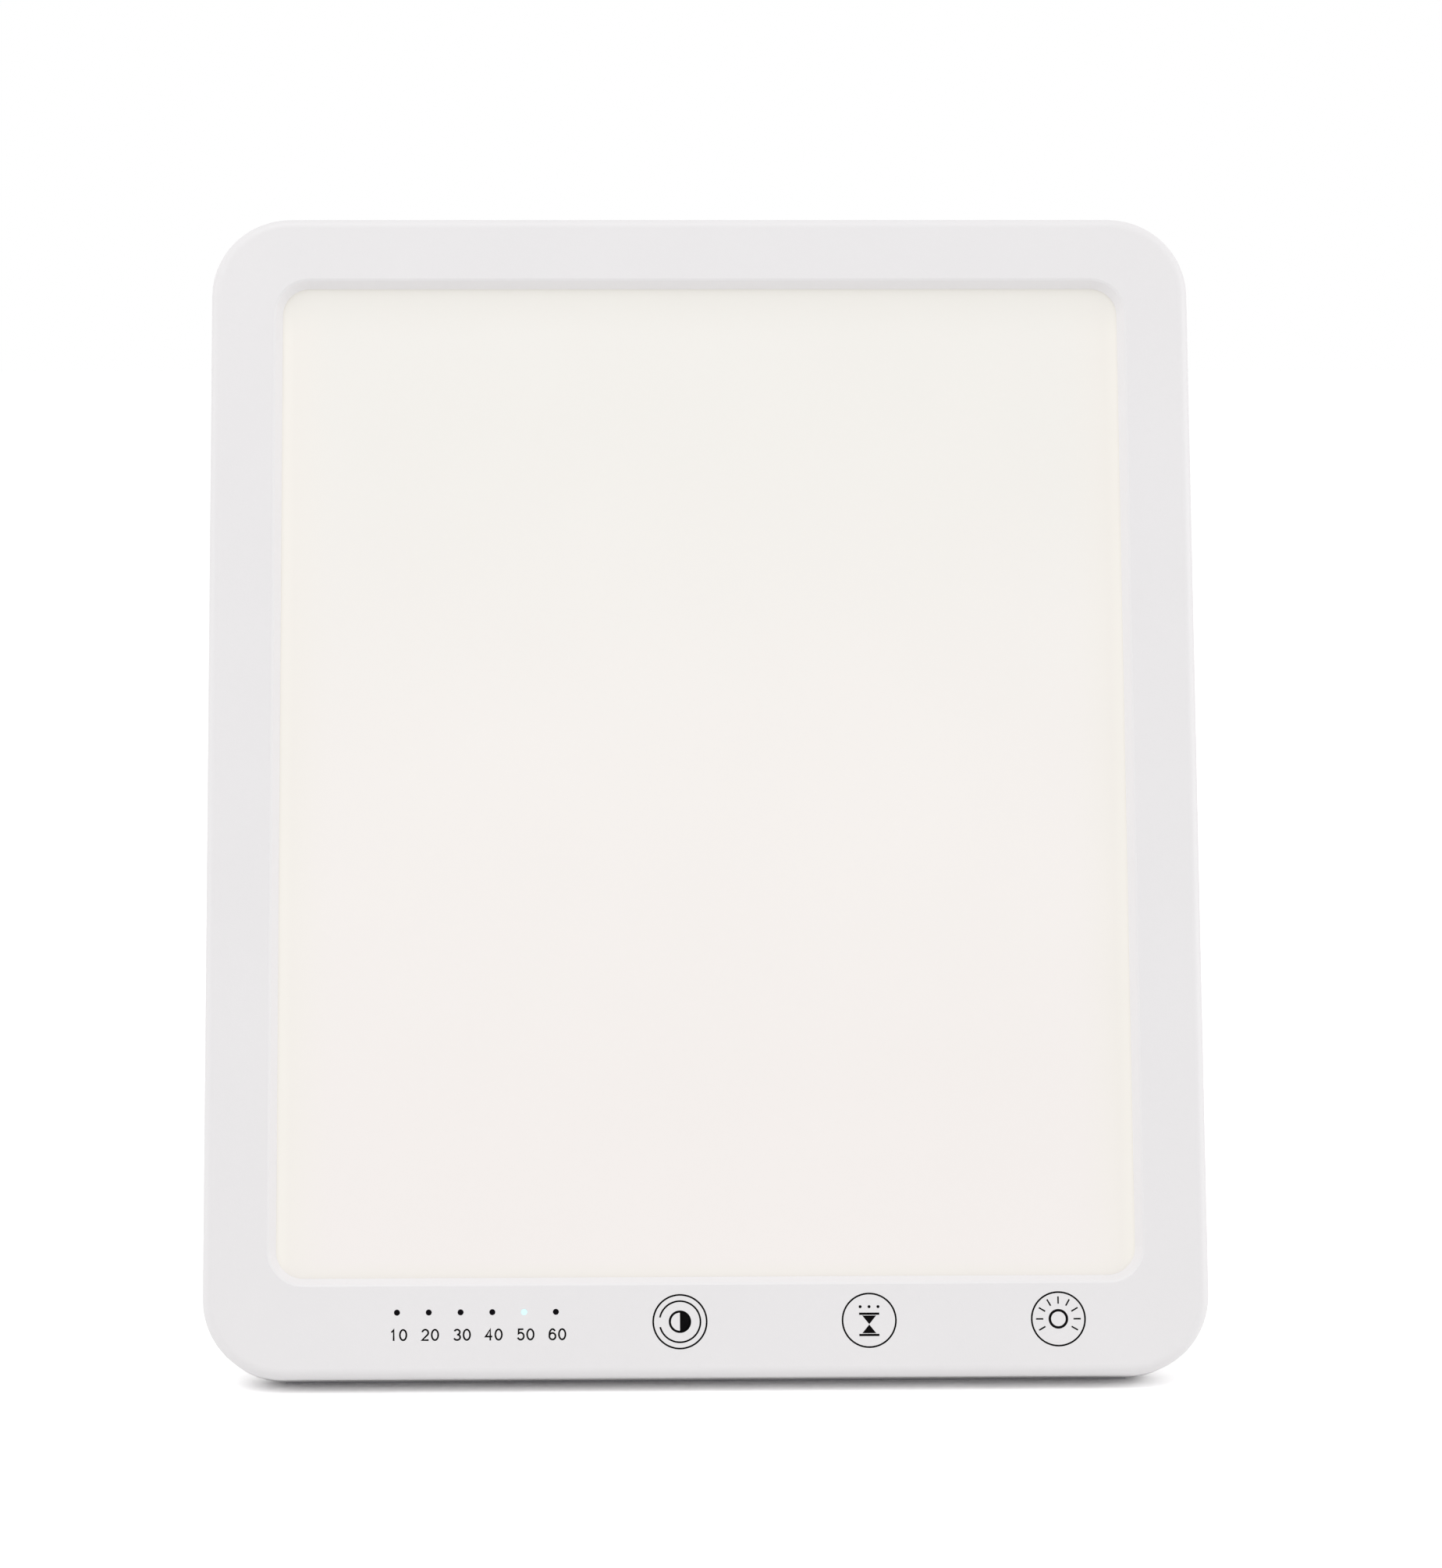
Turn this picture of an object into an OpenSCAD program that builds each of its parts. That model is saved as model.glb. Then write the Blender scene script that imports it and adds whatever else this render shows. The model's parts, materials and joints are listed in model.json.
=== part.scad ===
// Light therapy lamp: a flat edge-lit panel in a two-part moulded case, with a
// swivelling fold-out stand on its back. Millimetres, +Z up.
// The origin is the middle of the foot strip's resting face.
// Panel coordinates: x across, y from the front face into the depth, z up the panel.

/* [Case] */
// Width of the panel
panel_w = 200; // [190:1:230]
// Height of the panel along its face
panel_h = 237; // [230:1:270]
// Depth of the closed case
panel_t = 18; // [18:0.25:20]
// Radius of the case's four corners, seen from the front
corner_r = 16; // [14:0.5:18]
// Radius of the rounded front edge
front_r = 2; // [1:0.25:2.5]
// Radius of the rounded back edge
back_r = 8; // [6:0.5:8.5]
// Thickness of the side walls
wall_t = 2.2; // [1.8:0.1:2.4]
// Thickness of the bezel's front face
face_t = 2; // [1.6:0.1:2.2]
// Thickness of the back wall
back_t = 2.2; // [1.8:0.1:2.4]
// Depth of the front bezel, up to the joint line
bezel_t = 8; // [8:0.1:8.4]
// Width and depth of the shadow gap at the joint line
reveal = 0.4; // [0.2:0.1:0.6]

/* [Window] */
// Face width beside the window, left and right
margin_side = 13; // [12.5:0.25:14]
// Face width above the window
margin_top = 13.1; // [12.8:0.1:16]
// Face width below the window, where the keys are
margin_bottom = 18.45; // [18.3:0.05:22]
// Width of the sloped wall round the window
slope_w = 1.5; // [1:0.05:2.5]
// Size of the small eased edge where that wall meets the face
window_edge = 0.25; // [0.15:0.05:0.4]
// Corner radius of the window at the face
window_r = 7; // [5:0.5:10]

/* [Optical stack] */
// Thickness of the foam gasket behind the face
gasket_t = 0.3; // [0.2:0.05:0.4]
// Width that the diffuser plate reaches behind the face
plate_lap = 3; // [2:0.1:3]
// Thickness of the opal diffuser plate
plate_t = 2; // [1.5:0.1:2]
// Thickness of the diffuser film
film_t = 0.2; // [0.1:0.05:0.25]
// Thickness of the light guide
guide_t = 3; // [2.5:0.1:3]
// Distance from the case's side to the light guide's edge
guide_margin = 12.8; // [12.5:0.1:14]
// Thickness of the reflector sheet
reflector_t = 0.3; // [0.2:0.05:0.4]
// Thickness of the backing tray's sheet metal
tray_t = 1; // [0.6:0.1:1]
// Height of the locating rib's wall round the plate
rib_t = 1.2; // [0.8:0.1:1.2]
// Play between the plate and its locating rib
plate_play = 0.3; // [0.2:0.05:0.4]
// How much less tall the sheets behind the plate are
sheet_short = 3; // [2:0.5:8]
// Distance of the ribs that press the tray from the middle of the case
press_rib_x = 60; // [45:1:80]
// Width of those ribs
press_rib_w = 1.6; // [1:0.1:2.5]
// Distance that those ribs end short of the tray, at both ends
press_rib_short = 14; // [5:1:40]

/* [Light strips] */
// Number of light chips on each strip
chip_count = 24; // [8:1:30]
// Height of one light chip along the strip
chip_h = 3.5; // [2:0.1:4]
// Width of one light chip across the strip
chip_w = 2.2; // [1.4:0.1:2.4]
// Thickness of one light chip
chip_t = 0.7; // [0.4:0.1:0.8]
// Gap between a chip and the light guide's edge
chip_gap = 0.3; // [0.2:0.05:0.4]
// Thickness of a strip's board
strip_t = 1; // [0.6:0.1:1]
// Distance that a strip ends short of the light guide, at both ends
strip_short = 5; // [2:0.5:12]

/* [Control board] */
// Width of the control board
board_w = 160; // [156:1:164]
// Height of the control board
board_h = 11.6; // [10:0.1:11.8]
// Thickness of the control board
board_t = 1.2; // [0.8:0.1:1.6]
// Gap between the board's lower edge and the case's underside
board_z = 3; // [2.8:0.1:3.2]
// Space between the face's back and the board
board_space = 2.6; // [2.4:0.1:3]
// Radius of a board screw's head
board_head_r = 1.8; // [1.5:0.1:2]
// Thickness of a board screw's head
board_head_t = 1.1; // [0.8:0.1:1.4]
// Radius of a board screw's thread
board_screw_r = 0.9; // [0.7:0.05:1]
// Radius of the bosses that carry the board
board_boss_r = 2; // [1.8:0.1:2.2]
// Places of the board's screws across the panel
board_screw_x = [-76, 13.3, 76.5];
// Height of the board's screws above its lower edge
board_screw_up = 3.2; // [2.6:0.1:4]

/* [Touch keys] */
// Places of the three touch keys across the panel
key_x = [-5.45, 32.1, 69.7];
// Height of the touch keys' centres above the underside
key_z = 11.1; // [9.7:0.1:11.3]
// Radius of a touch spring's coil
key_coil_r = 3; // [2:0.1:3.2]
// Radius of a touch spring's wire
key_wire_r = 0.22; // [0.15:0.01:0.3]
// Turns of a touch spring
key_turns = 3; // [2:1:4]

/* [Timer indicators] */
// Number of indicator dots
dot_count = 6; // [2:1:6]
// Place of the first dot across the panel
dot_x = -61.4; // [-66:0.1:-58]
// Distance from one dot to the next
dot_pitch = 6.29; // [4.5:0.01:6.6]
// Height of the dots above the underside
dot_z = 13.02; // [12.2:0.01:13.1]
// Radius of a dot
dot_r = 0.55; // [0.4:0.05:0.8]
// Number of dots to the left of the lit one
dot_lit = 4; // [0:1:5]
// Radius of the collar behind each dot
dot_collar_r = 0.9; // [0.9:0.05:1]
// Thickness of that collar
dot_collar_t = 0.5; // [0.3:0.1:0.6]
// Thickness of the small light behind each dot
led_t = 0.6; // [0.4:0.1:1]
// Width of the wall round the small lights
shroud_wall = 0.45; // [0.4:0.05:0.6]

/* [Case screws] */
// Distance of the case screws from the side of the case
screw_in = 5.6; // [5.4:0.1:5.8]
// Distance of the outer case screws from the top and underside
screw_end = 24; // [20:0.5:30]
// Radius of a case screw's thread
screw_r = 1.25; // [1:0.05:1.4]
// Radius of a case screw's head
screw_head_r = 2.2; // [1.9:0.05:2.3]
// Thickness of a case screw's head
screw_head_t = 1.6; // [1:0.1:2]
// Radius of the bosses and posts that take the case screws
boss_r = 3; // [2.9:0.05:3]
// Thickness of the web between a boss and the side wall
web_t = 2; // [1.2:0.1:3]
// Depth of the screw holes' wide mouths
mouth_d = 5; // [4.6:0.1:5.2]
// Thickness of the plugs that close them
cap_t = 1.2; // [0.8:0.1:1.3]

/* [Power inlet] */
// Height of the inlet above the underside
jack_z = 34; // [30:0.5:60]
// Height of the inlet's body
jack_h = 9; // [8:0.5:12]
// Depth of the inlet's body
jack_t = 6.6; // [6.4:0.1:6.8]
// Length of the inlet's body inside the case
jack_l = 12; // [11:0.5:16]
// Radius of the inlet's nose in the wall
jack_nose_r = 3.3; // [3.2:0.05:3.4]
// Distance of the nose's end from the case's side
jack_nose_in = 2.4; // [2.3:0.1:3]
// Distance of the body's end from the case's side
jack_body_in = 6.9; // [6.8:0.1:8]
// Radius of the socket
jack_bore_r = 2.8; // [2.6:0.05:2.9]
// Length of the socket
jack_bore_l = 11; // [9:0.5:12]
// Radius of the contact pin
jack_pin_r = 1; // [0.6:0.05:1.25]
// Distance from the mouth back to the contact pin's tip
jack_pin_in = 1.5; // [0.5:0.25:3]

/* [Stand] */
// Angle that the panel leans back when it stands
lean = 16; // [12:0.5:20]
// Radius of the swivelling hub
hub_r = 38; // [37:0.5:42]
// Height of the hub's back above the case's back
hub_proud = 6.5; // [6.5:0.1:9]
// Depth of the pocket that the hub turns in
pocket_d = 2; // [1.5:0.1:2]
// Height of the hub's centre above the underside
hub_z = 100; // [95:1:120]
// Radius of the hub's neck
neck_r = 10; // [8:0.5:12]
// Running clearance of the neck in its bore
neck_play = 0.08; // [0.03:0.01:0.1]
// Thickness of the friction ring
ring_t = 0.4; // [0.3:0.1:0.5]
// Gap between the friction ring and the cover
ring_play = 0.1; // [0.05:0.01:0.15]
// Radius of the retaining disc
retainer_r = 16; // [15:0.5:18]
// Thickness of the retaining disc
retainer_t = 1.2; // [0.8:0.1:1.4]
// Radius of the circle that the three hub screws lie on
hub_screw_ring = 6; // [4.5:0.1:6]
// Radius of a hub screw's thread
hub_screw_r = 1.2; // [1:0.05:1.4]
// Length of a hub screw under its head
hub_screw_l = 4.5; // [3.5:0.1:5]
// Radius of a hub screw's head
hub_head_r = 2.3; // [1.8:0.1:2.4]
// Thickness of a hub screw's head
hub_head_t = 1.4; // [1:0.1:1.6]
// Width of the leg
leg_w = 36; // [30:1:38]
// Thickness of the leg
leg_t = 6; // [5:0.5:6]
// Height of the leg's hinge above the hub's centre
hinge_up = 24; // [20:0.5:25]
// Radius of the hinge pin
pin_r = 1.5; // [1.2:0.05:1.6]
// Running clearance of the leg on the hinge pin
pin_play = 0.06; // [0.03:0.01:0.1]
// Clearance of the hinge pin in the hub
pin_seat_play = 0.02; // [0.01:0.01:0.05]
// Gap between the leg and the hub's cheeks
leg_play = 0.4; // [0.4:0.05:0.6]
// Length of the leg's heel past the hinge, which stops it when it is open
heel_l = 6; // [4.5:0.25:6]
// Height of the rubber pad at the leg's end
pad_h = 3; // [2:0.5:5]
// Radius of the leg's lower corners
leg_corner_r = 9; // [5:0.5:12]

/* [Foot strip] */
// Length of the foot strip
foot_l = 168; // [140:1:168]
// Width of the foot strip
foot_w = 2.4; // [2:0.2:4.4]
// Depth of the groove that holds the foot strip
foot_in = 1; // [0.8:0.1:1.2]
// Height of the case's lowest edge above the table
foot_gap = 0.25; // [0.2:0.05:1]

/* [Hidden] */

$fn = 64;
eps = 0.01;       // how far a cut runs past a face
past = 10;        // how far a through cut runs past a wall
seat = 0.05;      // radial clearance of screws and plugs in their holes
gap = 0.3;        // gap between moving pieces that don't guide each other

half_w = panel_w / 2;
inner_r = corner_r - wall_t;
room_w = panel_w - 2 * wall_t;
room_h = panel_h - 2 * wall_t;
room_turn = panel_t - back_r;
room_slope = 0.57 * (back_r - wall_t);   // how far the room's back is drawn in
cavity_back = panel_t - back_t;

// window, at the face and at the foot of its sloped wall
window_w = panel_w - 2 * margin_side;
window_h = panel_h - margin_top - margin_bottom;
window_mid = margin_bottom + window_h / 2;

// the optical stack, from the front
plate_y = face_t + gasket_t;
film_y = plate_y + plate_t;
guide_y = film_y + film_t;
reflector_y = guide_y + guide_t;
tray_y = reflector_y + reflector_t;
tray_back = tray_y + tray_t;
plate_w = window_w - 2 * slope_w + 2 * plate_lap;
plate_h = window_h - 2 * slope_w + 2 * plate_lap;
guide_w = panel_w - 2 * guide_margin;
sheet_h = plate_h - sheet_short;
strip_x = guide_w / 2 + chip_gap + chip_t;
strip_h = sheet_h - 2 * strip_short;
flange_x = strip_x + strip_t;

// control board and what is on it
board_y = face_t + board_space;
board_back = board_y + board_t;
board_mid = board_z + board_h / 2;
board_screw_z = board_z + board_screw_up;
led_half = 0.8;
lens_reach = board_y - led_t - gap;
// chip places: x, z, width, height, thickness
chips = [[-46, board_mid, 7, 7, 1], [20, board_mid, 5, 4, 1], [52, board_mid, 5, 4, 1],
    [-20, board_mid, 4, 5, 1.2], [-30, board_mid, 2, 3, 0.8], [2, board_mid, 2, 3, 0.8]];
inductor_x = 36;
inductor_w = 6;
inductor_t = 3;
inductor_top = 0.6;
socket_x = [-66, 66];
socket_w = 6;
socket_h = 5;
socket_t = 3;
wire_r = 0.6;
tag_half = 2;     // half the distance between the jack's two tags
lead_step = 2;    // straight length of the leads behind the jack
lead_end = 1.5;   // straight length of the leads before a socket
lead_bow = 4;     // how far the leads swing in at a bend
lead_fall = 14;   // height over the board's middle where the jack's leads turn
contact_half = 1.25;  // half the distance between a socket's two contacts

// case screws
screw_x = half_w - screw_in;
screw_z = [screw_end, panel_h / 2, panel_h - screw_end];
head_seat = panel_t - mouth_d;
mouth_r = screw_head_r + gap;
screw_tip = face_t + 1;
cap_in = 2;          // how far a plug lies below the back face
screw_room = 0.25;   // radial room of a case screw in the cover

// inlet
jack_y = (tray_back + cavity_back) / 2;
jack_face = half_w - jack_body_in;
jack_mouth = half_w - jack_nose_in;
jack_tail = jack_face - jack_l;

// stand
floor_y = panel_t - pocket_d;
hub_wall_y = floor_y - back_t;
hub_back = panel_t + hub_proud;
hub_front = floor_y + gap;
hinge_y = hub_back - leg_t / 2;
hinge_z = hub_z + hinge_up;
slot_floor = hinge_y - leg_t / 2 - gap;
neck_front = hub_wall_y - ring_t - ring_play;
fold = 2 * lean;
heel_reach = norm([leg_t / 2, heel_l]);
slot_w = leg_w + 2 * leg_play;
pin_short = 3;    // how much shorter the hinge pin is than the hub is wide there
pin_l = 2 * sqrt(hub_r * hub_r - hinge_up * hinge_up) - pin_short;
washer_t = leg_play - 0.1;
stop_play = 0.1;  // gap between the heel and the slot's floor when the leg is open

// how the panel stands: lifted, leant back and moved so that the foot's face is at the origin
lift = (panel_t - back_r) * sin(lean) - back_r * cos(lean) + back_r + foot_gap;
foot_y = panel_t - back_r + back_r * sin(lean);
foot_z = (foot_y * sin(lean) - lift) / cos(lean);
shift = -(foot_y * cos(lean) + foot_z * sin(lean));
hinge_world_z = lift + hinge_z * cos(lean) - hinge_y * sin(lean);
leg_l = hinge_world_z / cos(fold - lean);

white = [0.93, 0.93, 0.93];
opal = [0.97, 0.96, 0.94];
clear = [0.85, 0.92, 0.95];
metal = [0.75, 0.76, 0.78];
pcb = [0.1, 0.4, 0.25];
black = [0.12, 0.12, 0.13];
rubber = [0.25, 0.25, 0.26];
copper = [0.8, 0.5, 0.3];

// ---- shared shapes ----

// puts a piece of the panel where it stands
module stand_up() {
    translate([0, shift, lift]) rotate([-lean, 0, 0]) children();
}

// a cylinder along the depth
module rod_y(r, y0, y1, x = 0, z = 0) {
    translate([x, y0, z]) rotate([-90, 0, 0]) cylinder(r = r, h = y1 - y0);
}

// a cylinder along the width
module rod_x(r, x0, x1, y, z) {
    translate([x0, y, z]) rotate([0, 90, 0]) cylinder(r = r, h = x1 - x0);
}

// a box centred on x and z, from y0 to y1
module plate(w, h, y0, y1, x = 0, z = 0) {
    translate([x - w / 2, y0, z - h / 2]) cube([w, y1 - y0, h]);
}

// a plate with four round corners
module round_plate(w, h, r, y0, y1, z = 0) {
    plate(w - 2 * r, h, y0, y1, 0, z);
    plate(w, h - 2 * r, y0, y1, 0, z);
    for (i = [-1, 1], j = [-1, 1])
        rod_y(r, y0, y1, i * (w / 2 - r), z + j * (h / 2 - r));
}

// half of the case's section: flat at the middle, round at its outer front and back edges
module edge_profile(reach) {
    difference() {
        square([reach, panel_t]);
        translate([reach - front_r, -eps]) square([front_r + eps, front_r + eps]);
        translate([reach - back_r, panel_t - back_r]) square([back_r + eps, back_r + eps]);
    }
    translate([reach - front_r, front_r]) circle(front_r);
    translate([reach - back_r, panel_t - back_r]) circle(back_r);
}

// the whole closed case as one block
module case_block() {
    for (i = [-1, 1], j = [0, 1])
        translate([i * (half_w - corner_r), 0, j == 0 ? corner_r : panel_h - corner_r])
            rotate([-90, 0, 0]) rotate_extrude() edge_profile(corner_r);
    for (i = [0, 1])
        mirror([i, 0, 0]) translate([0, 0, corner_r])
            linear_extrude(panel_h - 2 * corner_r) edge_profile(half_w);
    for (j = [0, 1])
        translate([0, 0, panel_h / 2]) mirror([0, 0, j])
            translate([-(half_w - corner_r), 0, 0]) rotate([90, 0, 90])
                linear_extrude(panel_w - 2 * corner_r) mirror([1, 0, 0]) rotate(90)
                    edge_profile(panel_h / 2);
}

// a block with round corners that narrows by shrink on every side as it goes from y0 to y1
module narrowing(w, h, r, shrink, y0, y1, z) {
    for (i = [-1, 1], j = [-1, 1])
        translate([i * (w / 2 - r), y0, z + j * (h / 2 - r)]) rotate([-90, 0, 0])
            cylinder(r1 = r, r2 = r - shrink, h = y1 - y0);
    translate([0, 0, z - h / 2 + r]) linear_extrude(h - 2 * r)
        polygon([[-w / 2, y0], [w / 2, y0], [w / 2 - shrink, y1], [shrink - w / 2, y1]]);
    translate([r - w / 2, 0, z]) rotate([90, 0, 90]) linear_extrude(w - 2 * r)
        polygon([[y0, -h / 2], [y0, h / 2], [y1, h / 2 - shrink], [y1, shrink - h / 2]]);
}

// the room inside the case, from y0 to the start of its round back edge
module case_room(y0) {
    round_plate(room_w, room_h, inner_r, y0, room_turn, panel_h / 2);
}

// the room inside the case behind that, its edges sloped to keep the wall's thickness
module case_room_back() {
    narrowing(room_w, room_h, inner_r, room_slope, room_turn, cavity_back, panel_h / 2);
}

// the window's cut: wide at the face and narrower behind it, with an eased front edge
module window_cut() {
    slope = slope_w / face_t;
    narrowing(window_w, window_h, window_r, slope_w, 0, face_t, window_mid);
    narrowing(window_w + 2 * window_edge, window_h + 2 * window_edge, window_r + window_edge,
        window_edge * (1 + slope), 0, window_edge, window_mid);
}

// a short screw along the depth, its head towards the back
module screw_y(r, y0, y1, head_r, head_t, x, z) {
    rod_y(r, y0, y1, x, z);
    difference() {
        rod_y(head_r, y1, y1 + head_t, x, z);
        for (a = [0, 90])
            translate([x, y1 + head_t, z]) rotate([0, a, 0])
                cube([head_r * 1.1, head_t, head_r * 0.3], center = true);
    }
}

// a round wire through its points, its rings square to the way it runs
wire_sides = 8;
function unit(v) = v / norm(v);
function heading(points, i) = unit(points[min(i + 1, len(points) - 1)] - points[max(i - 1, 0)]);
function wire_ring(points, i, r) = let (
        t = heading(points, i),
        a = unit(cross([0, 1, -1], t)),
        b = cross(t, a))
    [for (k = [0 : wire_sides - 1]) let (turn = 360 * k / wire_sides)
        points[i] + r * (cos(turn) * a + sin(turn) * b)];
// the two triangles between ring i and the next, at side k
function tube_side(i, k, n) = let (k2 = (k + 1) % n)
    [[i * n + k, (i + 1) * n + k2, i * n + k2], [i * n + k, (i + 1) * n + k, (i + 1) * n + k2]];
// a closed tube through rings of n points each
module tube(points, n) {
    last = len(points) / n - 1;
    sides = [for (i = [0 : last - 1], k = [0 : n - 1]) each tube_side(i, k, n)];
    start = [[for (k = [0 : n - 1]) k]];
    end = [[for (k = [n - 1 : -1 : 0]) last * n + k]];
    polyhedron(points, concat(start, sides, end));
}
module wire(points, r = wire_r) {
    tube([for (i = [0 : len(points) - 1]) each wire_ring(points, i, r)], wire_sides);
}

// places of all case screws
module at_screws() {
    for (i = [-1, 1], z = screw_z) translate([i * screw_x, 0, z]) mirror([i < 0 ? 1 : 0, 0, 0])
        children();
}

// ---- case ----

module front_bezel() color(white) stand_up() difference() {
    union() {
        difference() {
            intersection() {
                case_block();
                plate(panel_w + past, panel_h + past, -past, bezel_t, 0, panel_h / 2);
            }
            case_room(face_t);
        }
        // rib that locates the plate
        difference() {
            plate(plate_w + 2 * (plate_play + rib_t), plate_h + 2 * (plate_play + rib_t),
                face_t - eps, film_y - 0.2, 0, window_mid);
            plate(plate_w + 2 * plate_play, plate_h + 2 * plate_play,
                face_t - 2 * eps, film_y, 0, window_mid);
        }
        // posts for the case screws
        at_screws() {
            rod_y(boss_r, face_t - eps, bezel_t);
            translate([0, face_t - eps, -web_t / 2])
                cube([screw_in - wall_t + eps, bezel_t - face_t, web_t]);
        }
        for (x = board_screw_x)
            rod_y(board_boss_r, face_t - eps, board_y, x, board_screw_z);
    }
    window_cut();
    at_screws() rod_y(screw_r + seat, screw_tip, panel_t);
    for (x = board_screw_x)
        rod_y(board_screw_r + seat, face_t + 0.6, panel_t, x, board_screw_z);
    for (i = [0 : dot_count - 1])
        rod_y(dot_r + seat, -eps, face_t + eps, dot_x + i * dot_pitch, dot_z);
}

module rear_cover() color(white) difference() {
    stand_up() difference() {
        union() {
            difference() {
                union() {
                    intersection() {
                        case_block();
                        plate(panel_w + past, panel_h + past, bezel_t + reveal, panel_t + past,
                            0, panel_h / 2);
                    }
                    round_plate(panel_w - 2 * reveal, panel_h - 2 * reveal, corner_r - reveal,
                        bezel_t, bezel_t + reveal + eps, panel_h / 2);
                }
                case_room(bezel_t - 1);
                case_room_back();
            }
            // thick disc under the hub's pocket
            rod_y(hub_r + gap + back_t, hub_wall_y, cavity_back + eps, 0, hub_z);
            // ribs that press the tray against the stack
            for (i = [-1, 1])
                plate(press_rib_w, sheet_h - 2 * press_rib_short, tray_back,
                    cavity_back + eps, i * press_rib_x, window_mid);
            // bosses for the case screws, each tied to the side wall by a web
            at_screws() {
                rod_y(boss_r, bezel_t, cavity_back + eps);
                translate([0, bezel_t + eps, -web_t / 2])
                    cube([screw_in - wall_t + eps, back_r / 2, web_t]);
            }
        }
        rod_y(hub_r + gap, floor_y, panel_t + eps, 0, hub_z);
        rod_y(neck_r + neck_play, hub_wall_y - eps, panel_t, 0, hub_z);
        at_screws() {
            rod_y(screw_r + screw_room, bezel_t - eps, panel_t + eps);
            rod_y(mouth_r, head_seat, panel_t + eps);
        }
        rod_x(jack_nose_r + seat, jack_face, half_w + eps, jack_y, jack_z);
    }
    foot_box(foot_in);
}

// the foot strip's room, level with the table, reaching up into the case by depth
module foot_box(depth) {
    translate([-foot_l / 2, -foot_w / 2, 0]) cube([foot_l, foot_w, foot_gap + depth]);
}

module case_screws() color(metal) stand_up() at_screws()
    screw_y(screw_r, screw_tip + gap, head_seat, screw_head_r, screw_head_t, 0, 0);

module screw_caps() color(white) stand_up() at_screws()
    rod_y(mouth_r - seat, panel_t - cap_in - cap_t, panel_t - cap_in);

module foot_strip() color(rubber) foot_box(foot_in);

// ---- optical stack ----

module window_gasket() color(black) stand_up() difference() {
    plate(plate_w, plate_h, face_t, plate_y, 0, window_mid);
    plate(plate_w - 1.6 * plate_lap, plate_h - 1.6 * plate_lap, 0, panel_t, 0, window_mid);
}

module diffuser_plate() color(opal) stand_up()
    plate(plate_w, plate_h, plate_y, film_y, 0, window_mid);

module diffuser_film() color(opal) stand_up()
    plate(guide_w, sheet_h, film_y, guide_y, 0, window_mid);

module light_guide() color(clear) stand_up()
    plate(guide_w, sheet_h, guide_y, reflector_y, 0, window_mid);

module reflector_sheet() color("white") stand_up()
    plate(guide_w, sheet_h, reflector_y, tray_y, 0, window_mid);

module backing_tray() color(metal) stand_up() {
    plate(2 * (flange_x + tray_t), sheet_h, tray_y, tray_back, 0, window_mid);
    for (i = [-1, 1])
        plate(tray_t, sheet_h, guide_y, tray_y + eps, i * (flange_x + tray_t / 2), window_mid);
}

module led_board(side) color("white") stand_up()
    plate(strip_t, strip_h, guide_y, tray_y, side * (strip_x + strip_t / 2), window_mid);
module led_board_left() led_board(-1);
module led_board_right() led_board(1);

module led_chips(side) color([1, 0.9, 0.5]) stand_up()
    for (i = [0 : chip_count - 1])
        translate([side * (strip_x - chip_t / 2), guide_y + guide_t / 2,
            window_mid + (i + 0.5 - chip_count / 2) * strip_h / chip_count])
            cube([chip_t, chip_w, chip_h], center = true);
module led_chips_left() led_chips(-1);
module led_chips_right() led_chips(1);

// ---- control board ----

module control_board() color(pcb) stand_up() difference() {
    plate(board_w, board_h, board_y, board_back, 0, board_mid);
    for (x = board_screw_x)
        rod_y(board_screw_r + 0.2, board_y - eps, board_back + eps, x, board_screw_z);
}

module board_chips() color(black) stand_up()
    for (c = chips) plate(c[2], c[3], board_back, board_back + c[4], c[0], c[1]);

module board_inductor() color(rubber) stand_up() {
    plate(inductor_w, inductor_w, board_back, board_back + inductor_t - inductor_top,
        inductor_x, board_mid);
    rod_y(inductor_w / 2 - 0.3, board_back + inductor_t - inductor_top - eps,
        board_back + inductor_t, inductor_x, board_mid);
}

module lead_sockets() color("ivory") stand_up()
    for (x = socket_x) difference() {
        plate(socket_w, socket_h, board_back, board_back + socket_t, x, board_mid);
        for (i = [-1, 1])
            plate(2 * wire_r + 0.2, 2 * wire_r + 0.2, board_back + 1, board_back + socket_t + eps,
                x + i * contact_half, board_mid);
    }

module board_screws() color(metal) stand_up() for (x = board_screw_x)
    screw_y(board_screw_r, face_t + 0.8, board_back, board_head_r, board_head_t,
        x, board_screw_z);

// touch spring: one unbroken helix of round wire from the board to the face's back
spring_l = board_space - 2 * key_wire_r;
spring_steps = 12;
spring_sides = 6;
function coil_ring(i) = let (
        a = 360 * i / spring_steps,
        turn_share = i / (key_turns * spring_steps),
        y = face_t + key_wire_r + spring_l * turn_share)
    [for (k = [0 : spring_sides - 1]) let (
            b = 360 * k / spring_sides,
            r = key_coil_r + key_wire_r * cos(b))
        [r * cos(a), y - key_wire_r * sin(b), r * sin(a)]];
module touch_spring() {
    tube([for (i = [0 : key_turns * spring_steps]) each coil_ring(i)], spring_sides);
}
module touch_springs() color(copper) stand_up()
    for (x = key_x) translate([x, 0, key_z - 0.6]) touch_spring();

module indicator_leds() color("ivory") stand_up()
    for (i = [0 : dot_count - 1])
        plate(2 * led_half, led_half, board_y - led_t, board_y, dot_x + i * dot_pitch, dot_z);

module light_shroud() color(black) stand_up() difference() {
    span = (dot_count - 1) * dot_pitch;
    hole_r = dot_collar_r + seat;
    across = 2 * (hole_r + shroud_wall);
    plate(span + across, across, face_t, board_y, dot_x + span / 2, dot_z);
    for (i = [0 : dot_count - 1])
        rod_y(hole_r, face_t - eps, board_y + eps, dot_x + i * dot_pitch, dot_z);
}

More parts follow.
